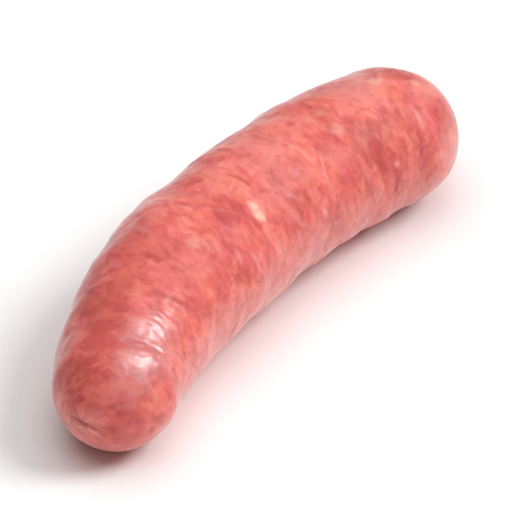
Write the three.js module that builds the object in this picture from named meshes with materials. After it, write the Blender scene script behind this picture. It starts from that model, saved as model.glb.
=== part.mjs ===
// Raw sausage link: coarse ground meat in a thin natural casing, curved as it left the stuffer.
// Units are millimetres and +Z is up. The link lies on its side on z = 0 with its two ends towards
// -X and +X and its back bulging towards +Y. The origin is under the middle of its bounding box.
// Meat and casing hold together as one piece, so the link is one solid.
import * as THREE from "three";

// Driving dimensions of the body
const BODY_LENGTH = 103.2; // along the centre line, between the centres of the two rounded ends
const DIAMETERS = [27, 30.5, 34.4, 33.6, 33.8, 33, 32.2]; // evenly spaced, slim end first
const SLIM_END_BEND_RADIUS = 50; // the centre line bends hardest towards its two ends
const MIDDLE_BEND_RADIUS = 240;
const FULL_END_BEND_RADIUS = 63;
const SLUMP = 0.015; // soft meat lies this share wider and lower than a round section
const SINK = 0.55; // depth of the underside that lying on a flat surface presses flat

// Driving dimensions of the two closed ends, where the casing is drawn together and pinched
const ENDS = {
  slim: { lean: 20, leanUp: 0.41, reach: 1.045, pointedness: 1.23, pleats: 7 },
  full: { lean: 26, leanUp: -0.6, reach: 1.057, pointedness: 1.21, pleats: 8 },
};
const PUCKER_REACH = 7.5; // the pleats fade out this far from the pinch
const PUCKER_DEPTH = 0.6;
const TEAT_WIDTH = 1.9; // the gathered casing stands out as a small teat
const TEAT_HEIGHT = 0.7;

// Low swellings of the packed meat: height, waves along the body, lobes around it and phase
const SWELLINGS = [
  { height: 0.21, waves: 3, lobes: 2, phase: 2.56 },
  { height: 0.15, waves: 5, lobes: -3, phase: 4.48 },
  { height: 0.12, waves: 9, lobes: 4, phase: 4.4 },
];

// Fineness of the solid
const SIDES = 56;
const BODY_RINGS = 42;
const END_RINGS = 14;
const CENTRE_LINE_STEPS = 400;
const SLOPE_STEP = 0.01; // share of the body over which its slope at either end is measured

const QUARTER_TURN = Math.PI / 2;
const UP = new THREE.Vector3(0, 0, 1);

const girth = new THREE.SplineCurve(DIAMETERS.map((d, i) => new THREE.Vector2(i, d / 2)));
const radiusAt = (share) => girth.getPoint(THREE.MathUtils.clamp(share, 0, 1)).y;

// Heading of the centre line after a share of its length: the curvature runs as a parabola
// through its values at the slim end, the middle and the full end.
function headingAt(share) {
  const s = share;
  const slim = (s - (3 * s ** 2) / 2 + (2 * s ** 3) / 3) / SLIM_END_BEND_RADIUS;
  const middle = (2 * s ** 2 - (4 * s ** 3) / 3) / MIDDLE_BEND_RADIUS;
  const full = ((2 * s ** 3) / 3 - s ** 2 / 2) / FULL_END_BEND_RADIUS;
  return -BODY_LENGTH * (slim + middle + full);
}

// The centre line in plan, turned so that its chord lies along +X
function makeCentreLine() {
  const points = [new THREE.Vector3()];
  const step = BODY_LENGTH / CENTRE_LINE_STEPS;
  for (let i = 0; i < CENTRE_LINE_STEPS; i += 1) {
    const heading = headingAt((i + 0.5) / CENTRE_LINE_STEPS);
    const ahead = new THREE.Vector3(Math.cos(heading), Math.sin(heading), 0);
    points.push(points[i].clone().addScaledVector(ahead, step));
  }
  const chordAngle = Math.atan2(points.at(-1).y, points.at(-1).x);
  for (const point of points) point.applyAxisAngle(UP, -chordAngle);
  return { points, chordAngle };
}

const centreLine = makeCentreLine();

// Where a share of the body lies: a point on the centre line and the way it runs there
function stationAt(share) {
  const inside = THREE.MathUtils.clamp(share, 0, 1);
  const place = inside * CENTRE_LINE_STEPS;
  const before = Math.min(Math.floor(place), CENTRE_LINE_STEPS - 1);
  const point = centreLine.points[before].clone();
  point.lerp(centreLine.points[before + 1], place - before);
  point.z = radiusAt(inside) * (1 - SLUMP) - SINK;
  const heading = headingAt(inside) - centreLine.chordAngle;
  const ahead = new THREE.Vector3(Math.cos(heading), Math.sin(heading), 0);
  const aside = new THREE.Vector3(-Math.sin(heading), Math.cos(heading), 0);
  return { point, ahead, aside };
}

// Half profile of one closed end, from the pinch outwards: distance past the body and radius.
// It is an oval that carries on the body's slope, drawn to a teat where the casing is gathered.
function endProfile(end, bodyShare) {
  const bodyRadius = radiusAt(bodyShare);
  const inside = Math.abs(bodyShare - SLOPE_STEP);
  const slope = (radiusAt(inside) - bodyRadius) / (SLOPE_STEP * BODY_LENGTH);
  const profile = [];
  for (let i = 0; i < END_RINGS; i += 1) {
    const angle = QUARTER_TURN * (1 - i / END_RINGS);
    const depth = end.reach * bodyRadius * Math.sin(angle);
    const oval = i === 0 ? 0 : Math.cos(angle) ** end.pointedness;
    const radius = (bodyRadius - slope * depth) * oval;
    const teat = TEAT_HEIGHT * Math.exp(-((radius / TEAT_WIDTH) ** 2));
    profile.push({ depth: depth + teat, radius });
  }
  return profile;
}

// The straight link as a turned shape about the Y axis
function makeStraightLink() {
  const profile = [];
  for (const { depth, radius } of endProfile(ENDS.slim, 0)) {
    profile.push(new THREE.Vector2(radius, -depth));
  }
  for (let i = 0; i <= BODY_RINGS; i += 1) {
    const share = i / BODY_RINGS;
    profile.push(new THREE.Vector2(radiusAt(share), share * BODY_LENGTH));
  }
  for (const { depth, radius } of endProfile(ENDS.full, 1).reverse()) {
    profile.push(new THREE.Vector2(radius, BODY_LENGTH + depth));
  }
  return new THREE.LatheGeometry(profile, SIDES);
}

// How far the packed meat swells out at a place on the skin
function swellingAt(along, around) {
  let height = 0;
  for (const { height: most, waves, lobes, phase } of SWELLINGS) {
    height += most * Math.sin((waves * 2 * Math.PI * along) / BODY_LENGTH + lobes * around + phase);
  }
  return height;
}

// Turns a point of a closed end about the end's centre, so that the pinch leans off the axis
function leanEnd(offset, end, outward, aside, ringAngle) {
  const towards = aside.clone().multiplyScalar(Math.sqrt(1 - end.leanUp ** 2));
  towards.addScaledVector(UP, end.leanUp);
  const axis = outward.clone().cross(towards).normalize();
  const share = THREE.MathUtils.smoothstep(ringAngle, 0, QUARTER_TURN);
  return offset.applyAxisAngle(axis, THREE.MathUtils.degToRad(end.lean) * share);
}

// Moves a point of the straight link onto the curved link
function placeSkinPoint(straight) {
  const along = straight.y;
  const around = Math.atan2(-straight.x, straight.z);
  const straightRadius = Math.hypot(straight.x, straight.z);
  const inside = THREE.MathUtils.clamp(along, 0, BODY_LENGTH);
  const { point, ahead, aside } = stationAt(inside / BODY_LENGTH);
  const past = along - inside;
  const bodyRadius = radiusAt(inside / BODY_LENGTH);

  const swelling = swellingAt(along, around) * (straightRadius / bodyRadius) ** 2;
  const radius = straightRadius + swelling;
  const offset = aside.clone().multiplyScalar(radius * Math.sin(around) * (1 + SLUMP));
  offset.addScaledVector(UP, radius * Math.cos(around) * (1 - SLUMP));
  offset.addScaledVector(ahead, past);

  if (past !== 0) {
    const end = past < 0 ? ENDS.slim : ENDS.full;
    const outward = ahead.clone().multiplyScalar(Math.sign(past));
    const fade = THREE.MathUtils.smoothstep(PUCKER_REACH - straightRadius, 0, PUCKER_REACH);
    const pleat = straightRadius > 0 ? 0.5 + 0.5 * Math.cos(end.pleats * around) : 0;
    offset.addScaledVector(outward, -PUCKER_DEPTH * fade * pleat);
    leanEnd(offset, end, outward, aside, Math.atan2(Math.abs(past), straightRadius));
  }
  return point.add(offset);
}

// The curved link's skin, pressed flat where it meets the surface it lies on
function makeLinkGeometry() {
  const geometry = makeStraightLink();
  const position = geometry.getAttribute("position");
  for (let i = 0; i < position.count; i += 1) {
    const placed = placeSkinPoint(new THREE.Vector3().fromBufferAttribute(position, i));
    position.setXYZ(i, placed.x, placed.y, Math.max(placed.z, 0));
  }
  geometry.computeBoundingBox();
  const middle = geometry.boundingBox.getCenter(new THREE.Vector3());
  geometry.translate(-middle.x, -middle.y, 0);
  geometry.computeVertexNormals();
  return geometry;
}

const rawMeat = new THREE.MeshStandardMaterial({
  color: new THREE.Color(0.86, 0.42, 0.38),
  roughness: 0.42,
  metalness: 0,
});

const sausageLink = new THREE.Mesh(makeLinkGeometry(), rawMeat);
sausageLink.name = "sausage_link";

const part = new THREE.Group();
part.add(sausageLink);

export default part;
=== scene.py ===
# A raw sausage link lying on a pale surface: the finish of the meat and its natural casing.
# Lengths are in metres and named angles in degrees, unless a heading below says otherwise.
import math
import random

import bmesh
import bpy
import numpy as np
from mathutils import Matrix, Vector, noise


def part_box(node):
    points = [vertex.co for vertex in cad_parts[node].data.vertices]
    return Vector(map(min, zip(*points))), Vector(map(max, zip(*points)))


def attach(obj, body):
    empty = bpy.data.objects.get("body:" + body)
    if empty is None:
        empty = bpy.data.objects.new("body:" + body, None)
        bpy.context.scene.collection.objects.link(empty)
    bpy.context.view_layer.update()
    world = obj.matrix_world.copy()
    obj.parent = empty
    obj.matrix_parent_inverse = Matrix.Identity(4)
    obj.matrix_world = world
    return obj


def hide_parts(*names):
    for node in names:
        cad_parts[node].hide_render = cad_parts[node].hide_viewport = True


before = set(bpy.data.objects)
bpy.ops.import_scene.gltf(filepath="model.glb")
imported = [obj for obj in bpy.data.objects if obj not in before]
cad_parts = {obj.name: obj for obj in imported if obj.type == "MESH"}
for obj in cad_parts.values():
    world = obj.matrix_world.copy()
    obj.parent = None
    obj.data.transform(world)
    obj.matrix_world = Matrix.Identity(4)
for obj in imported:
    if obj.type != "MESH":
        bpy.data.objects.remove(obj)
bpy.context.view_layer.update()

MM = 0.001

# The link's driving dimensions, as its construction states them
BODY_LENGTH = 103.2 * MM
DIAMETERS = [d * MM for d in (27, 30.5, 34.4, 33.6, 33.8, 33, 32.2)]
SLIM_END_BEND_RADIUS = 50 * MM
MIDDLE_BEND_RADIUS = 240 * MM
FULL_END_BEND_RADIUS = 63 * MM
SLUMP = 0.015
SINK = 0.55 * MM
SLIM_END = {"lean": 20, "lean_up": 0.41, "reach": 1.045, "pointedness": 1.23, "pleat_seed": 3}
FULL_END = {"lean": 26, "lean_up": -0.6, "reach": 1.057, "pointedness": 1.21, "pleat_seed": 5}

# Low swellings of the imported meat: height, waves along the body, lobes round it, phase in radians
SWELLINGS = [(0.21 * MM, 3, 2, 2.56), (0.15 * MM, 5, -3, 4.48), (0.12 * MM, 9, 4, 4.4)]

# Relief of the skin that the solid leaves out
LUMP_SIZE = 4.2 * MM
LUMP_HEIGHT = 0.2 * MM
GRAIN_SIZE = 1.7 * MM
GRAIN_HEIGHT = 0.085 * MM
FLECK_HEIGHT = 0.12 * MM
STRAND_HEIGHT = 0.085 * MM
CRINKLE_SIZE = 1.9 * MM
CRINKLE_HEIGHT = 0.07 * MM
CRINKLE_STRETCH = (1, 0.8, 0.8)
CRINKLE_SHARPNESS = 3
DRY_CRINKLE = 0.25

# Seeds of the skin's noises, each of which is shifted by its seed times these steps
LUMP_SEED = 1
GRAIN_SEED = 2
EDGE_SEED = 3
CRINKLE_SEED = 5
SEED_STEPS = (7.31, 3.17, 5.53)

# Casing gathered at the two pinches: pleats, a fold and a small teat
PUCKER_REACH = 9 * MM
PUCKER_DEPTH = 0.4 * MM
PUCKER_START = 2.4 * MM
PLEAT_LOBES = (5, 7, 11)
FOLD_DEPTH = 0.4 * MM
FOLD_LENGTH = 2.9 * MM
FOLD_WIDTH = 0.6 * MM
FOLD_TURN = 77
FOLD_BOW = -0.045 / MM
# Painted shade that darkens the fold's furrow
FURROW_PAINTED_SHADE = 1.4
TEAT_WIDTH = 2.2 * MM
TEAT_HEIGHT = 0.4 * MM

# Lips on both sides of the fold: place and width in its widths, height as a share of its depth
LIP_PLACE = 2.2
LIP_WIDTH = 1.3
LIP_HEIGHT = 0.4
LIP_PALENESS = 0.3

# A mark is full within the first of these shares of its reach and ends at the second
MARK_EDGE = (0.3, 1.35)
MARK_RAGGEDNESS = 0.4
MARK_RAG_SIZE = 1.4 * MM

# Marks of meat and casing, and of painted reflection and sheen: mm along the body, degrees round it, reach
# along and round, strength
FAT_MARKS = [
    (51, -32, 1.3, 1.8, 0.8),
    (50.4, -39.5, 1.5, 1.9, 0.95),
    (31, -20, 1.7, 1.6, 0.3),
    (83.6, -21, 1.5, 2.1, 0.35),
    (84, 0, 1.5, 1.4, 0.25),
    (100.8, 4.5, 2.0, 1.6, 0.45),
    (108.5, -9, 1.6, 1.2, 0.4),
    (94.4, -68, 0.9, 0.9, 0.5),
    (17, 70, 1.6, 2.2, 0.6),
    (64, 105, 2.0, 1.6, 0.7),
    (88, 80, 1.3, 2.3, 0.5),
    (38, 150, 1.8, 2.4, 0.6),
    (74, -140, 1.7, 2.0, 0.6),
    (12, -140, 1.5, 1.8, 0.5),
]
# Pale marks: mostly paler meat and casing, and some painted reflection and sheen, as noted
PALE_AND_REFLECTION_MARKS = [
    (64, -14, 7, 6.5, 0.4),
    (95.7, 2, 5, 5, 0.5),
    # Painted sheen on the full end's top edge
    (109, -18, 4, 4, 0.6),
    # Painted reflection on the full end's low side
    (111, -76, 4, 7, 0.8),
    # These three are painted reflection of the pale floor: a pale band along the link's low side
    (20, -95, 24, 7, 0.95),
    (60, -93, 30, 7, 0.7),
    (99, -103, 14, 7, 0.5),
    (29, -84, 1.3, 4, 0.6),
    (79, -88, 1.2, 4, 0.6),
    (85, -82, 1.2, 3, 0.6),
    (-10, -50, 2.0, 2.6, 0.35),
]
DARK_MARKS = [
    (41, -25.5, 1.2, 1.8, 0.9),
    (48.3, -45.5, 1.1, 1.4, 0.8),
    (41, -42, 1.8, 2.2, 0.35),
    (34.9, -61, 1.1, 2.6, 0.6),
    (-12.7, -99, 0.9, 3.4, 0.7),
    (-10.6, 50, 1.2, 2.4, 0.7),
    (19.3, -57, 1.8, 2.8, 0.3),
    (16, -21.5, 1.2, 2.0, 0.55),
    (13, 2, 1.2, 1.5, 0.4),
    (90.4, -40, 2.2, 4.5, 0.45),
    (89.3, -62, 2.2, 3.4, 0.45),
    (109.1, -40, 2.0, 2.6, 0.5),
]

# Broad fields of leaner and of fattier meat, given like the marks; two lean fields are painted shadow
LEAN_FIELDS_AND_SHADE = [
    # Painted shadow on the slim end beside its highlight
    (2.5, 8, 9, 6, 1.6),
    (12, 30, 10, 7, 0.2),
    # Painted shadow on the slim end's flank
    (0, 62, 9, 5, 0.8),
    (89, -40, 7, 6, 1.0),
    (-5, -61, 6, 4, 0.2),
    (110, -36, 6, 6, 0.5),
    (45, 120, 14, 9, 0.7),
    (80, 170, 12, 9, 0.6),
]
FATTY_FIELDS = [
    (95.7, 2, 8, 7, 1.4),
    (55, -4, 8, 6, 0.9),
    (27, -46, 7, 5, 0.25),
    (68, 9, 10, 7, 1.0),
    (17, -20, 6, 6, 0.4),
    (30, -2, 6, 7, 0.3),
    (95, 130, 12, 9, 0.6),
    (10, 150, 12, 8, 0.5),
]

# Wet places, where the casing lies bare and smooth, given like the marks; their milky tint is painted
# sheen
MOIST_MARKS = [
    # The wet place under the slim end's highlight; its milky tint paints the highlight's pale veil
    (0.5, -32, 14, 7, 1.0),
    (98, 30, 12, 9, 0.7),
    (30, 65, 12, 8, 0.6),
    (60, 125, 16, 8, 0.7),
    (101, -150, 9, 9, 0.8),
]

# Lines round the casing: mm along, degrees round, half length, width, slant, bow, pale (1) or dark; the
# dark ones are sunken creases, partly painted shade
STRAND_MARKS = [
    (50.4, -71, 6, 0.55, 0.14, 0.0, 1),
    (93.3, -85, 3.5, 0.8, 0.35, 0.05, -1),
    (85.8, -88, 2.2, 0.7, 1.0, 0.0, 1),
    (37.3, -52, 2, 0.6, 0.2, 0.0, 1),
    (41.5, -64, 3.5, 0.5, 0.0, -0.04, 1),
    (54.3, -8, 4.5, 0.6, -0.18, -0.038, -1),
    (70.5, -14, 7, 0.5, -0.25, -0.01, 1),
    (38.5, 2, 2.4, 0.5, -0.3, 0.0, 1),
    (17.2, -36, 9, 0.8, -0.29, -0.01, -1),
    (104.5, -40, 4, 0.5, 0.0, -0.05, 1),
]

# A line fades out over this share of its half length
STRAND_FADE = 0.7

# Finer lines strewn over the whole skin, with their places as shares of the body's length
STRANDS = 260
STRAND_SEED = 11
STRAND_PLACES = (-0.08, 1.08)
STRAND_HALF_LENGTHS = (1.5, 7)
STRAND_WIDTHS = (0.35, 0.85)
STRAND_SLANT = 0.35
STRAND_BOW = 0.035
STRAND_STRENGTHS = (0.2, 0.75)

# Fineness of the skin
SIDES = 200
RINGS = 480
CENTRE_LINE_STEPS = 400
SLOPE_STEP = 0.01
END_STATIONS = 300
BODY_STATIONS = 600

# Colours of the meat and casing as a screen shows them, from 0 to 255
ROSE = (227, 105, 96)
# Lean meat, also the colour that the painted shadow of two lean fields takes
LEAN_RED_AND_SHADE = (198, 79, 74)
PALE_PINK = (243, 134, 123)
WARM_FAT = (240, 134, 110)
COOL_LEAN = (221, 98, 102)
FAT_CREAM = (253, 206, 182)
# Dark lean meat, also the colour of painted shade in creases, the fold's furrow and the gaps between
# grains
DARK_LEAN_AND_SHADE = (168, 48, 47)
# Pale casing, also the colour of the painted reflection and sheen
MEMBRANE_AND_REFLECTION = (233, 168, 163)
# Painted sheen: a milky veil tinted into the wet places
MILKY_PAINTED_SHEEN = (207, 128, 130)

# Patterns of the meat, whose scales are in cells or waves for each millimetre
DETAIL = 2.0
SWIRL_SCALE = 0.3
SWIRL_REACH = 2.6
HOOP_STRETCH = (1, 0.6, 0.6)
GRAIN_SCALE = 0.36
GRAIN_SMOOTHNESS = 0.75
BROAD_SCALE = 0.09
FINE = {"scale": 0.68, "detail": 1.8, "roughness": 0.55}
PATCHES = {"scale": 0.26, "detail": 1.5}
GAP_PATCH_SCALE = 0.5
DARK_SPOTS = {"Cells": 0.3, "Share": 0.3, "Reach": 0.28, "Softness": 0.4}
FAT_BITS = {"Cells": 0.2, "Share": 0.16, "Reach": 0.24, "Softness": 0.3}
FAT_BIT_STRETCH = (1, 0.7, 0.7)
FAT_BIT_SHIFT = (13, 5, 9)
FLECK_SIZES = (0.45, 1.25)
FLECK_RAG_SCALE = 3.5
FLECK_RAGGEDNESS = 0.35

# How the patterns become colour: shares of a sum, and from where to where a colour comes in
BROAD_SHARE = 0.47
GRAIN_SHARE = 0.15
FINE_SHARE = 0.38
FIELD_SHARE = 0.19
LEAN_TO_ROSE = (0.37, 0.5)
ROSE_TO_PALE = (0.5, 0.64)
GRAIN_WARMTH = 0.2
PATCH_WARMTH = 0.8
WARM_FROM = (0.43, 0.7)
COOL_BELOW = (0.3, 0.55)
HUE_SHARE = 0.42
# The dark gaps between grains are partly darker meat and partly painted crevice shade
GAP_WIDTH = 0.3
GAP_BROAD = (0.42, 0.6)
GAP_PATCHES = (0.4, 0.6)
GAP_SHARE = 0.26
DARK_SPOT_SHARE = 0.25
FAT_BIT_SHARE = 0.4
MARK_TINTS = [
    # Wet places take the painted sheen's milky tint
    ("moist_sheen", 0.45, MILKY_PAINTED_SHEEN),
    # Pale marks, strands and lips, with the painted reflection and sheen
    ("pale", 0.45, MEMBRANE_AND_REFLECTION),
    # Dark marks and strands, with painted shade in creases and in the fold's furrow
    ("dark", 0.5, DARK_LEAN_AND_SHADE),
    ("fat", 0.8, FAT_CREAM),
]
GATHER_FROM = (0.4, 1.0)
GATHER_SHARE = 0.2

# The casing's surface
BUMP = {"Strength": 0.5, "Distance": 0.6 * MM}
GRAIN_BUMP = -0.3
PIT_BUMP = 0.15
PITS = {"scale": 1.6, "detail": 1.5}
DRY_ROUGHNESS = 0.5
WET_ROUGHNESS = 0.4
UNEVEN_SCALE = 0.35
UNEVEN_RANGE = (0.3, 0.7)
UNEVEN_ROUGHNESS = 0.06
RIM_BLEND = 0.35
RIM_FROM = (0.25, 0.95)
RIM_COAT = (0.05, 0.65)
SURFACE = {
    "IOR": 1.37,
    "Coat Roughness": 0.35,
    "Coat IOR": 1.85,
    "Sheen Weight": 0.28,
    "Sheen Roughness": 0.4,
    "Subsurface Weight": 0.3,
    "Subsurface Radius": (1.0, 0.35, 0.25),
    "Subsurface Scale": 3 * MM,
}

# The photograph's view of the link: its crop is the square round the link, in the photo's pixels
VIEW_AZIMUTH = -54.4
VIEW_ELEVATION = 40.0
VIEW_DISTANCE = 1.1
SENSOR_WIDTH_IN_MM = 36.0
NEAREST_SEEN = 0.01
PHOTO_PIXELS_PER_METRE = 1915.0
PHOTO_LINK_CENTRE = (352.8, 299.3)
PHOTO_CROP_CENTRE = (359.5, 306.5)
PHOTO_CROP_WIDTH = 213.0

# The studio's far, wide lights, whose directions are right of the camera, away from it and up
SOFTBOX = {"towards": (0.64, 0.04, 0.7), "width": 27, "strength": 2.0}
OVERHEAD = {"towards": (-0.03, 0.06, 1.0), "width": 60, "strength": 1.55}
WORLD_STRENGTH = 0.16
BACKGROUND_STRENGTH = 0.94
FLOOR_REACH = 40.0
FLOOR_SHADE = 0.93
FLOOR_ROUGHNESS = 0.6


def smooth_step(value, low, high):
    """Rises smoothly from 0 at the low value to 1 at the high one."""
    share = np.clip((value - low) / (high - low), 0, 1)
    return share * share * (3 - 2 * share)


def radius_at(share):
    """Half the girth after a share of the body's length: a smooth curve through the diameters."""
    knots = np.array(DIAMETERS) / 2
    last = len(knots) - 1
    place = np.clip(share, 0, 1) * last
    i = np.clip(np.floor(place).astype(int), 0, last - 1)
    w = place - i
    before, here = knots[np.maximum(i - 1, 0)], knots[i]
    after, beyond = knots[i + 1], knots[np.minimum(i + 2, last)]
    slope_here, slope_after = (after - before) / 2, (beyond - here) / 2
    cubic = 2 * here - 2 * after + slope_here + slope_after
    square = -3 * here + 3 * after - 2 * slope_here - slope_after
    return ((cubic * w + square) * w + slope_here) * w + here


def heading_at(s):
    """Heading of the centre line after a share of its length, from its three bend radii."""
    slim = (s - 3 * s**2 / 2 + 2 * s**3 / 3) / SLIM_END_BEND_RADIUS
    middle = (2 * s**2 - 4 * s**3 / 3) / MIDDLE_BEND_RADIUS
    full = (2 * s**3 / 3 - s**2 / 2) / FULL_END_BEND_RADIUS
    return -BODY_LENGTH * (slim + middle + full)


def centre_line(share):
    """Where the centre line lies in plan and its heading, turned so that the chord is on +X."""
    steps = CENTRE_LINE_STEPS
    headings = heading_at((np.arange(steps) + 0.5) / steps)
    x = np.concatenate([[0], np.cumsum(np.cos(headings))]) * BODY_LENGTH / steps
    y = np.concatenate([[0], np.cumsum(np.sin(headings))]) * BODY_LENGTH / steps
    chord = math.atan2(y[-1], x[-1])
    along = x * math.cos(chord) + y * math.sin(chord)
    aside = y * math.cos(chord) - x * math.sin(chord)
    stations = np.arange(steps + 1) / steps
    heading = heading_at(share) - chord
    return np.interp(share, stations, along), np.interp(share, stations, aside), heading


def end_profile(end, share, angle):
    """How far a closed end reaches past the body, and its radius there, on the body's own slope."""
    radius = radius_at(np.array(share))
    slope = (radius_at(np.array(abs(share - SLOPE_STEP))) - radius) / (SLOPE_STEP * BODY_LENGTH)
    past = end["reach"] * radius * np.sin(angle)
    return past, (radius - slope * past) * np.clip(np.cos(angle), 0, 1) ** end["pointedness"]


def straight_profile():
    """The straight link's half profile from pinch to pinch: places along it and radii."""
    angle = np.linspace(0, math.pi / 2, END_STATIONS)
    body = np.linspace(0, 1, BODY_STATIONS)[1:-1]
    slim_past, slim_radius = end_profile(SLIM_END, 0, angle)
    full_past, full_radius = end_profile(FULL_END, 1, angle)
    along = np.concatenate([-slim_past[::-1], body * BODY_LENGTH, BODY_LENGTH + full_past])
    radius = np.concatenate([slim_radius[::-1], radius_at(body), full_radius])
    return along, np.maximum(radius, 0)


def point_on_profile(share):
    """Place along the straight link and radius, after a share of the way over its half profile."""
    profile_along, profile_radius = straight_profile()
    steps = np.hypot(np.diff(profile_along), np.diff(profile_radius))
    walked = np.concatenate([[0], np.cumsum(steps)])
    walked /= walked[-1]
    return np.interp(share, walked, profile_along), np.interp(share, walked, profile_radius)


def noise_at(points, size, seed):
    """Smooth noise from -1 to 1 on an array of points, with features of about a given size."""
    shift = Vector([seed * step for step in SEED_STEPS])
    return np.array([noise.noise(Vector(p) / size + shift) for p in points])


def turn_from(around, degrees):
    """The angle round the link from a place given in degrees, between half a turn each way."""
    return (around - math.radians(degrees) + math.pi) % (2 * math.pi) - math.pi


def mark_mask(along, around, radius, ragged, marks):
    """Soft uneven spots, each an ellipse on the skin whose edge a noise pushes in and out."""
    mask = np.zeros_like(along)
    for centre, degrees, reach_along, reach_round, strength in marks:
        across = (along - centre * MM) / (reach_along * MM)
        run = turn_from(around, degrees) * radius / (reach_round * MM)
        distance = np.hypot(across, run) + MARK_RAGGEDNESS * ragged
        mask = np.maximum(mask, strength * (1 - smooth_step(distance, *MARK_EDGE)))
    return mask


def strand_profile(along, around, radius, strand):
    """How near each point is to one thin line that runs round the link, from 0 to 1."""
    centre, degrees, half_length, width, slant, bow = strand
    run = turn_from(around, degrees) * radius
    across = along - centre * MM - slant * run - bow / MM * run**2
    window = smooth_step(1 - np.abs(run) / (half_length * MM), 0, STRAND_FADE)
    return window * np.exp(-((across / (width * MM)) ** 2))


def all_strands():
    """The listed lines at full strength, and the finer ones strewn over the skin."""
    rng = random.Random(STRAND_SEED)
    strands = [(*mark, 1.0) for mark in STRAND_MARKS]
    for _ in range(STRANDS):
        centre = rng.uniform(*STRAND_PLACES) * BODY_LENGTH / MM
        half_length = rng.uniform(*STRAND_HALF_LENGTHS)
        width = rng.uniform(*STRAND_WIDTHS)
        degrees = rng.uniform(-180, 180)
        slant = rng.gauss(0, STRAND_SLANT)
        bow = rng.gauss(0, STRAND_BOW)
        kind = rng.choice((-1, 1))
        strength = rng.uniform(*STRAND_STRENGTHS)
        strands.append((centre, degrees, half_length, width, slant, bow, kind, strength))
    return strands


def strand_marks(along, around, radius):
    """Fine strands and creases that run round the link: their relief, pale share and dark share. The dark
    share is partly darker meat and partly painted shade in the creases.
    """
    relief, pale, dark = (np.zeros_like(along) for _ in range(3))
    for *line, kind, strength in all_strands():
        near = strength * strand_profile(along, around, radius, line)
        relief += kind * STRAND_HEIGHT * near
        if kind > 0:
            pale = np.maximum(pale, near)
        else:
            # Sunken creases: partly darker meat, partly painted shade
            dark = np.maximum(dark, near)
    return relief, pale, dark


def skin_masks(straight, along, around, radius):
    """The masks of the skin's marks, and the relief of its strands."""
    ragged = noise_at(straight, MARK_RAG_SIZE, EDGE_SEED)
    strand_relief, pale_strands, dark_strands = strand_marks(along, around, radius)

    def spots(marks):
        return mark_mask(along, around, radius, ragged, marks)

    masks = {
        "fat": spots(FAT_MARKS),
        "pale": np.maximum(spots(PALE_AND_REFLECTION_MARKS), pale_strands),
        "dark": np.maximum(spots(DARK_MARKS), dark_strands),
        "moist_sheen": spots(MOIST_MARKS),
        "field": spots(FATTY_FIELDS) - spots(LEAN_FIELDS_AND_SHADE),
    }
    return masks, strand_relief


def skin_relief(straight, along, around, masks, strand_relief):
    """How far the skin stands out: swellings, lumps, grains, strands, flecks and crinkles."""
    relief = sum(
        height * np.sin(waves * 2 * math.pi * along / BODY_LENGTH + lobes * around + phase)
        for height, waves, lobes, phase in SWELLINGS
    )
    relief += LUMP_HEIGHT * noise_at(straight, LUMP_SIZE, LUMP_SEED)
    relief += GRAIN_HEIGHT * noise_at(straight, GRAIN_SIZE, GRAIN_SEED)
    ridges = noise_at(straight * CRINKLE_STRETCH, CRINKLE_SIZE, CRINKLE_SEED)
    crinkle = 1 - CRINKLE_SHARPNESS * np.abs(ridges)
    crinkled = DRY_CRINKLE + (1 - DRY_CRINKLE) * masks["moist_sheen"]
    relief += strand_relief + FLECK_HEIGHT * masks["fat"] + CRINKLE_HEIGHT * crinkled * crinkle
    return relief


def pucker_relief(radius, around, seed):
    """Pleats that run out from the pinch, uneven in width and depth."""
    rng = random.Random(seed)
    fade = smooth_step(PUCKER_REACH - radius, 0, PUCKER_REACH) * smooth_step(radius, 0, PUCKER_START)
    pleats = np.zeros_like(radius)
    for lobes in PLEAT_LOBES:
        pleats += rng.uniform(0.5, 1) * np.cos(lobes * around + rng.uniform(0, 6)) / math.sqrt(lobes)
    return PUCKER_DEPTH * fade * pleats


def pinch_fold(radius, around):
    """The fold of gathered casing across the pinch: its furrow and the lips on both sides of it."""
    turned = around - math.radians(FOLD_TURN)
    lengthways = radius * np.cos(turned)
    across = radius * np.sin(turned) + FOLD_BOW * lengthways**2
    fade = np.exp(-((lengthways / FOLD_LENGTH) ** 2))
    furrow = fade * np.exp(-((across / FOLD_WIDTH) ** 2))
    from_lip = np.abs(across) - LIP_PLACE * FOLD_WIDTH
    lips = fade * np.exp(-((from_lip / (LIP_WIDTH * FOLD_WIDTH)) ** 2))
    return furrow, lips


def lean_end(offset, end, outward, aside, ring_angle):
    """Turns the points of a closed end about the end's centre, so the pinch leans off the axis."""
    towards = aside * math.sqrt(1 - end["lean_up"] ** 2)
    towards[:, 2] += end["lean_up"]
    axis = np.cross(outward, towards)
    axis /= np.linalg.norm(axis, axis=1)[:, None]
    angle = (math.radians(end["lean"]) * smooth_step(ring_angle, 0, math.pi / 2))[:, None]
    on_axis = axis * np.sum(axis * offset, axis=1)[:, None] * (1 - np.cos(angle))
    return offset * np.cos(angle) + np.cross(axis, offset) * np.sin(angle) + on_axis


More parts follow.
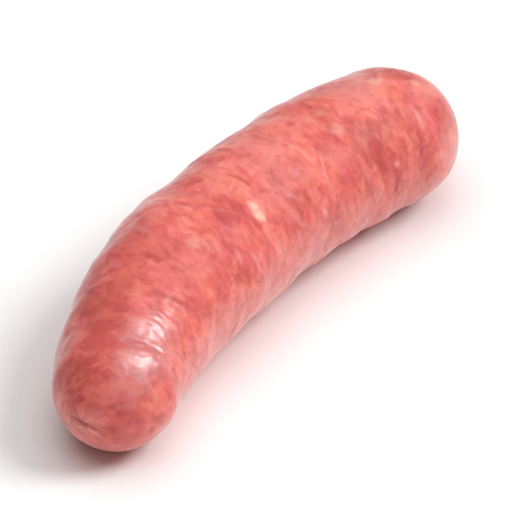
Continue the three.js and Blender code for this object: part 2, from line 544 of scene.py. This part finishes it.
def skin_points(share, around):
    """The skin's points, from their share of the profile and the angle round the link from its top.

    Returns the points, where each lay on the straight link, and the masks of the skin's marks.
    """
    along, radius = point_on_profile(share)
    straight = np.stack([along, radius * np.sin(around), radius * np.cos(around)], axis=1)
    inside = np.clip(along, 0, BODY_LENGTH)
    past = along - inside
    body_radius = radius_at(inside / BODY_LENGTH)
    masks, strand_relief = skin_masks(straight, along, around, body_radius)
    relief = skin_relief(straight, along, around, masks, strand_relief)
    skin_radius = radius + relief * (radius / body_radius) ** 2

    x, y, heading = centre_line(inside / BODY_LENGTH)
    z = body_radius * (1 - SLUMP) - SINK
    level = np.zeros_like(x)
    ahead = np.stack([np.cos(heading), np.sin(heading), level], axis=1)
    aside = np.stack([-np.sin(heading), np.cos(heading), level], axis=1)
    offset = aside * (skin_radius * np.sin(around) * (1 + SLUMP))[:, None]
    offset[:, 2] += skin_radius * np.cos(around) * (1 - SLUMP)
    offset += ahead * past[:, None]

    for end, sign in ((SLIM_END, -1), (FULL_END, 1)):
        on_end = past * sign > 0
        outward = ahead[on_end] * sign
        lift = TEAT_HEIGHT * np.exp(-((radius[on_end] / TEAT_WIDTH) ** 2))
        lift += pucker_relief(radius[on_end], around[on_end], end["pleat_seed"])
        furrow, lips = pinch_fold(radius[on_end], around[on_end])
        lift += FOLD_DEPTH * (LIP_HEIGHT * lips - furrow)
        # Painted shade in the fold's furrow
        masks["dark"][on_end] = np.maximum(masks["dark"][on_end], FURROW_PAINTED_SHADE * furrow)
        masks["pale"][on_end] = np.maximum(masks["pale"][on_end], LIP_PALENESS * lips)
        ring_angle = np.arctan2(np.abs(past[on_end]), radius[on_end])
        raised = offset[on_end] + outward * lift[:, None]
        offset[on_end] = lean_end(raised, end, outward, aside[on_end], ring_angle)

    points = np.stack([x, y, z], axis=1) + offset
    points[:, 2] = np.maximum(points[:, 2], 0)
    masks["gather"] = np.where(past == 0, 0, 1 - smooth_step(radius, 0, PUCKER_REACH))
    return points, straight, masks


def make_link():
    """The skin as one closed mesh, from a sphere whose rings are laid along the link."""
    bm = bmesh.new()
    bmesh.ops.create_uvsphere(bm, u_segments=SIDES, v_segments=RINGS, radius=1)
    mesh = bpy.data.meshes.new("link_skin")
    bm.to_mesh(mesh)
    bm.free()
    ball = np.empty(len(mesh.vertices) * 3)
    mesh.vertices.foreach_get("co", ball)
    ball = ball.reshape(-1, 3)
    share = 1 - np.arccos(np.clip(ball[:, 2], -1, 1)) / math.pi
    around = np.arctan2(ball[:, 0], ball[:, 1])
    points, straight, masks = skin_points(share, around)

    low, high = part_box("sausage_link")
    middle = (points.min(axis=0) + points.max(axis=0)) / 2
    points[:, 0] += (low[0] + high[0]) / 2 - middle[0]
    points[:, 1] += (low[1] + high[1]) / 2 - middle[1]
    mesh.vertices.foreach_set("co", points.ravel())
    unbent = mesh.attributes.new("straight", "FLOAT_VECTOR", "POINT")
    unbent.data.foreach_set("vector", straight.ravel())
    for name, mask in masks.items():
        mesh.attributes.new(name, "FLOAT", "POINT").data.foreach_set("value", mask)
    mesh.polygons.foreach_set("use_smooth", [True] * len(mesh.polygons))
    mesh.update()
    link = bpy.data.objects.new("link_skin", mesh)
    bpy.context.scene.collection.objects.link(link)
    return link


class Graph:
    """Short calls that add and join a shader tree's nodes."""

    def __init__(self, tree):
        self.tree = tree

    def add(self, kind, inputs=None, **settings):
        node = self.tree.nodes.new(kind)
        for name, value in settings.items():
            setattr(node, name, value)
        for name, value in (inputs or {}).items():
            self.put(node.inputs[name], value)
        return node

    def put(self, socket, value):
        if isinstance(value, bpy.types.NodeSocket):
            self.tree.links.new(value, socket)
        else:
            socket.default_value = value

    def math(self, operation, first, second):
        return self.add("ShaderNodeMath", {0: first, 1: second}, operation=operation).outputs[0]

    def weigh(self, *values_and_shares):
        """The sum of some values, each times its share."""
        total, *others = [self.math("MULTIPLY", value, share) for value, share in values_and_shares]
        for other in others:
            total = self.math("ADD", total, other)
        return total

    def stretch(self, vector, scale, shift=(0, 0, 0)):
        node = self.add("ShaderNodeMapping", {"Vector": vector, "Scale": scale, "Location": shift})
        return node.outputs[0]

    def noise(self, vector, scale, detail=DETAIL, roughness=0.5):
        inputs = {"Vector": vector, "Scale": scale, "Detail": detail, "Roughness": roughness}
        return self.add("ShaderNodeTexNoise", inputs).outputs[0]

    def step(self, value, low, high, to_low=0.0, to_high=1.0):
        inputs = {"Value": value, "From Min": low, "From Max": high, "To Min": to_low, "To Max": to_high}
        node = self.add("ShaderNodeMapRange", inputs, interpolation_type="SMOOTHSTEP")
        return node.outputs[0]

    def blend(self, share, first, second):
        node = self.add("ShaderNodeMix", data_type="RGBA")
        self.put(node.inputs[0], share)
        self.put(node.inputs[6], first)
        self.put(node.inputs[7], second)
        return node.outputs[2]


def colour(shown):
    """A colour given as a screen shows it, from 0 to 255, as the shader's linear values."""
    parts = [c / 255 for c in shown]
    linear = [p / 12.92 if p <= 0.04045 else ((p + 0.055) / 1.055) ** 2.4 for p in parts]
    return (*linear, 1.0)


def fleck_group():
    """Scattered flecks: a mask of soft uneven spots in a share of the cells of a cell pattern."""
    group = bpy.data.node_groups.new("flecks", "ShaderNodeTree")
    face = group.interface
    face.new_socket("Vector", in_out="INPUT", socket_type="NodeSocketVector")
    for name in ("Cells", "Share", "Reach", "Softness"):
        face.new_socket(name, in_out="INPUT", socket_type="NodeSocketFloat")
    face.new_socket("Mask", in_out="OUTPUT", socket_type="NodeSocketFloat")
    g = Graph(group)
    given = g.add("NodeGroupInput").outputs
    cell_inputs = {"Vector": given["Vector"], "Scale": given["Cells"], "Randomness": 1.0}
    cells = g.add("ShaderNodeTexVoronoi", cell_inputs, feature="F1")
    chance = g.add("ShaderNodeSeparateColor", {0: cells.outputs["Color"]}).outputs
    chosen = g.math("LESS_THAN", chance[0], given["Share"])
    size = g.math("MULTIPLY", given["Reach"], g.step(chance[1], 0, 1, *FLECK_SIZES))
    ragged = g.noise(given["Vector"], g.math("MULTIPLY", given["Cells"], FLECK_RAG_SCALE))
    push = g.math("MULTIPLY", g.math("SUBTRACT", ragged, 0.5), FLECK_RAGGEDNESS)
    edge = g.math("ADD", cells.outputs["Distance"], push)
    past = g.math("DIVIDE", g.math("SUBTRACT", size, edge), given["Softness"])
    mask = g.math("MULTIPLY", g.step(past, 0, 1), chosen)
    g.put(g.add("NodeGroupOutput").inputs["Mask"], mask)
    return group


def add_flecks(g, group, vector, settings):
    """The mask of one use of the fleck pattern."""
    node = g.add("ShaderNodeGroup", node_tree=group)
    g.put(node.inputs["Vector"], vector)
    for name, value in settings.items():
        g.put(node.inputs[name], value)
    return node.outputs["Mask"]


def drift(g, in_mm):
    """Places in the straight link pushed about by a swirl, so that no pattern runs true."""
    swirl_inputs = {"Vector": in_mm, "Scale": SWIRL_SCALE, "Detail": DETAIL}
    swirl = g.add("ShaderNodeTexNoise", swirl_inputs).outputs["Color"]
    centred = g.add("ShaderNodeVectorMath", {0: swirl, 1: (0.5, 0.5, 0.5)}, operation="SUBTRACT")
    reach = (SWIRL_REACH, SWIRL_REACH, SWIRL_REACH)
    pushed_inputs = {0: centred.outputs[0], 1: reach, 2: in_mm}
    return g.add("ShaderNodeVectorMath", pushed_inputs, operation="MULTIPLY_ADD").outputs[0]


def ground_meat(g, in_mm, place, hooped, grains, field):
    """The colour of the ground meat, before its marks: leaner and fattier, warmer and cooler, with painted
    shade in two lean fields and in the gaps between grains.
    """
    grain = g.add("ShaderNodeSeparateColor", {0: grains.outputs["Color"]}).outputs
    broad = g.noise(in_mm, BROAD_SCALE)
    fine = g.noise(hooped, **FINE)
    tone = g.weigh((broad, BROAD_SHARE), (grain[0], GRAIN_SHARE), (fine, FINE_SHARE), (field, FIELD_SHARE))
    meat = g.blend(g.step(tone, *LEAN_TO_ROSE), colour(LEAN_RED_AND_SHADE), colour(ROSE))
    meat = g.blend(g.step(tone, *ROSE_TO_PALE), meat, colour(PALE_PINK))
    patches = g.noise(hooped, **PATCHES)
    warmth = g.weigh((grain[1], GRAIN_WARMTH), (patches, PATCH_WARMTH))
    meat = g.blend(g.step(warmth, *WARM_FROM, 0.0, HUE_SHARE), meat, colour(WARM_FAT))
    meat = g.blend(g.step(warmth, *COOL_BELOW, HUE_SHARE, 0.0), meat, colour(COOL_LEAN))

    # Dark gaps between the grains: partly darker meat, partly painted crevice shade
    gap_inputs = {"Vector": hooped, "Scale": GRAIN_SCALE}
    gaps = g.add("ShaderNodeTexVoronoi", gap_inputs, feature="DISTANCE_TO_EDGE")
    in_gap = g.step(gaps.outputs["Distance"], 0.0, GAP_WIDTH, 1.0, 0.0)
    gap = g.math("MULTIPLY", in_gap, g.step(broad, *GAP_BROAD))
    gap = g.math("MULTIPLY", gap, g.step(g.noise(place, GAP_PATCH_SCALE), *GAP_PATCHES))
    return g.blend(g.math("MULTIPLY", gap, GAP_SHARE), meat, colour(DARK_LEAN_AND_SHADE))


def marked_meat(g, meat, place, hooped, mark):
    """Adds the flecks, the marks and the gathered casing at the pinches to the meat's colour. Some marks
    are painted sheen, reflection and shade.
    """
    flecks = fleck_group()
    spots = add_flecks(g, flecks, hooped, DARK_SPOTS)
    meat = g.blend(g.math("MULTIPLY", spots, DARK_SPOT_SHARE), meat, colour(DARK_LEAN_AND_SHADE))
    bit_place = g.stretch(place, FAT_BIT_STRETCH, FAT_BIT_SHIFT)
    bits = add_flecks(g, flecks, bit_place, FAT_BITS)
    meat = g.blend(g.math("MULTIPLY", bits, FAT_BIT_SHARE), meat, colour(FAT_CREAM))
    for name, share, tint in MARK_TINTS:
        meat = g.blend(g.math("MULTIPLY", mark[name], share), meat, colour(tint))
    gathered = g.step(mark["gather"], *GATHER_FROM, 0.0, GATHER_SHARE)
    return g.blend(gathered, meat, colour(MEMBRANE_AND_REFLECTION))


def meat_material():
    """Coarse ground meat seen through a thin wet casing, with a painted sheen tint on its wet places."""
    material = bpy.data.materials.new("raw_meat_in_casing")
    material.use_nodes = True
    material.node_tree.nodes.clear()
    g = Graph(material.node_tree)

    straight = g.add("ShaderNodeAttribute", attribute_name="straight").outputs["Vector"]
    mark = {}
    for name in ("fat", "pale", "dark", "moist_sheen", "gather", "field"):
        mark[name] = g.add("ShaderNodeAttribute", attribute_name=name).outputs["Fac"]
    in_mm = g.stretch(straight, (1 / MM, 1 / MM, 1 / MM))
    place = drift(g, in_mm)
    hooped = g.stretch(place, HOOP_STRETCH)
    grain_inputs = {"Vector": hooped, "Scale": GRAIN_SCALE}
    grains = g.add("ShaderNodeTexVoronoi", grain_inputs, feature="SMOOTH_F1")
    g.put(grains.inputs["Smoothness"], GRAIN_SMOOTHNESS)
    meat = ground_meat(g, in_mm, place, hooped, grains, mark["field"])
    meat = marked_meat(g, meat, place, hooped, mark)

    pits = g.noise(place, **PITS)
    height = g.weigh((grains.outputs["Distance"], GRAIN_BUMP), (pits, PIT_BUMP))
    bump = g.add("ShaderNodeBump", {"Height": height, **BUMP})
    patchy = g.noise(in_mm, UNEVEN_SCALE)
    uneven = g.step(patchy, *UNEVEN_RANGE, -UNEVEN_ROUGHNESS, UNEVEN_ROUGHNESS)
    roughness = g.math("ADD", g.step(mark["moist_sheen"], 0, 1, DRY_ROUGHNESS, WET_ROUGHNESS), uneven)
    turned_away = g.add("ShaderNodeLayerWeight", {"Blend": RIM_BLEND}).outputs["Facing"]
    coat = g.math("MAXIMUM", g.step(turned_away, *RIM_FROM, *RIM_COAT), mark["moist_sheen"])

    surface = g.add("ShaderNodeBsdfPrincipled", {"Base Color": meat, "Roughness": roughness})
    g.put(surface.inputs["Normal"], bump.outputs[0])
    g.put(surface.inputs["Coat Weight"], coat)
    for name, value in SURFACE.items():
        surface.inputs[name].default_value = value
    g.put(g.add("ShaderNodeOutputMaterial").inputs["Surface"], surface.outputs[0])
    return material


def make_floor():
    """The plain pale surface that the link lies on."""
    bm = bmesh.new()
    bmesh.ops.create_grid(bm, x_segments=1, y_segments=1, size=FLOOR_REACH)
    mesh = bpy.data.meshes.new("floor")
    bm.to_mesh(mesh)
    bm.free()
    floor = bpy.data.objects.new("floor", mesh)
    bpy.context.scene.collection.objects.link(floor)
    material = bpy.data.materials.new("pale_floor")
    material.use_nodes = True
    surface = material.node_tree.nodes["Principled BSDF"]
    surface.inputs["Base Color"].default_value = (FLOOR_SHADE, FLOOR_SHADE, FLOOR_SHADE, 1)
    surface.inputs["Roughness"].default_value = FLOOR_ROUGHNESS
    mesh.materials.append(material)


def add_light(name, towards, width, strength):
    """A light so far off that it shines evenly over the whole surface."""
    data = bpy.data.lights.new(name, "SUN")
    data.angle = math.radians(width)
    data.energy = strength
    light = bpy.data.objects.new(name, data)
    light.location = towards
    light.rotation_euler = (-towards).to_track_quat("-Z", "Y").to_euler()
    bpy.context.scene.collection.objects.link(light)


def view_axes():
    """The photograph's axes in the link's frame: right, up and back towards the camera."""
    turn, rise = math.radians(VIEW_AZIMUTH), math.radians(VIEW_ELEVATION)
    level = math.cos(rise)
    back = Vector((math.sin(turn) * level, -math.cos(turn) * level, math.sin(rise)))
    right = Vector((math.cos(turn), math.sin(turn), 0))
    return right, back.cross(right), back


def make_camera():
    """Looks along the photograph's line of sight, with the photo's square round the link in frame."""
    right, up, back = view_axes()
    low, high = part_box("sausage_link")
    centre = (Vector(low) + Vector(high)) / 2
    aside = (PHOTO_CROP_CENTRE[0] - PHOTO_LINK_CENTRE[0]) / PHOTO_PIXELS_PER_METRE
    below = (PHOTO_CROP_CENTRE[1] - PHOTO_LINK_CENTRE[1]) / PHOTO_PIXELS_PER_METRE
    aim = centre + right * aside - up * below
    data = bpy.data.cameras.new("camera")
    data.sensor_fit = "HORIZONTAL"
    data.sensor_width = SENSOR_WIDTH_IN_MM
    data.lens = data.sensor_width * VIEW_DISTANCE * PHOTO_PIXELS_PER_METRE / PHOTO_CROP_WIDTH
    data.clip_start = NEAREST_SEEN
    camera = bpy.data.objects.new("camera", data)
    facing = Matrix((right, up, back)).transposed().to_4x4()
    camera.matrix_world = Matrix.Translation(aim + back * VIEW_DISTANCE) @ facing
    bpy.context.scene.collection.objects.link(camera)
    bpy.context.scene.camera = camera


def make_studio():
    """A soft light above to the right, a broad one overhead, and a weak even one all round."""
    right, _, back = view_axes()
    ahead = Vector((-back.x, -back.y, 0)).normalized()
    for name, light in (("softbox", SOFTBOX), ("overhead", OVERHEAD)):
        aside, away, high = light["towards"]
        towards = (right * aside + ahead * away + Vector((0, 0, high))).normalized()
        add_light(name, towards, light["width"], light["strength"])
    world = bpy.data.worlds.new("studio")
    world.use_nodes = True
    g = Graph(world.node_tree)
    seen = g.add("ShaderNodeLightPath").outputs["Is Camera Ray"]
    background = world.node_tree.nodes["Background"]
    background.inputs["Color"].default_value = (1, 1, 1, 1)
    strength = g.step(seen, 0, 1, WORLD_STRENGTH, BACKGROUND_STRENGTH)
    g.put(background.inputs["Strength"], strength)
    bpy.context.scene.world = world
    bpy.context.scene.view_settings.view_transform = "Standard"


make_floor()
link = make_link()
link.data.materials.append(meat_material())
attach(link, "root")
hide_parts("sausage_link")
make_camera()
make_studio()
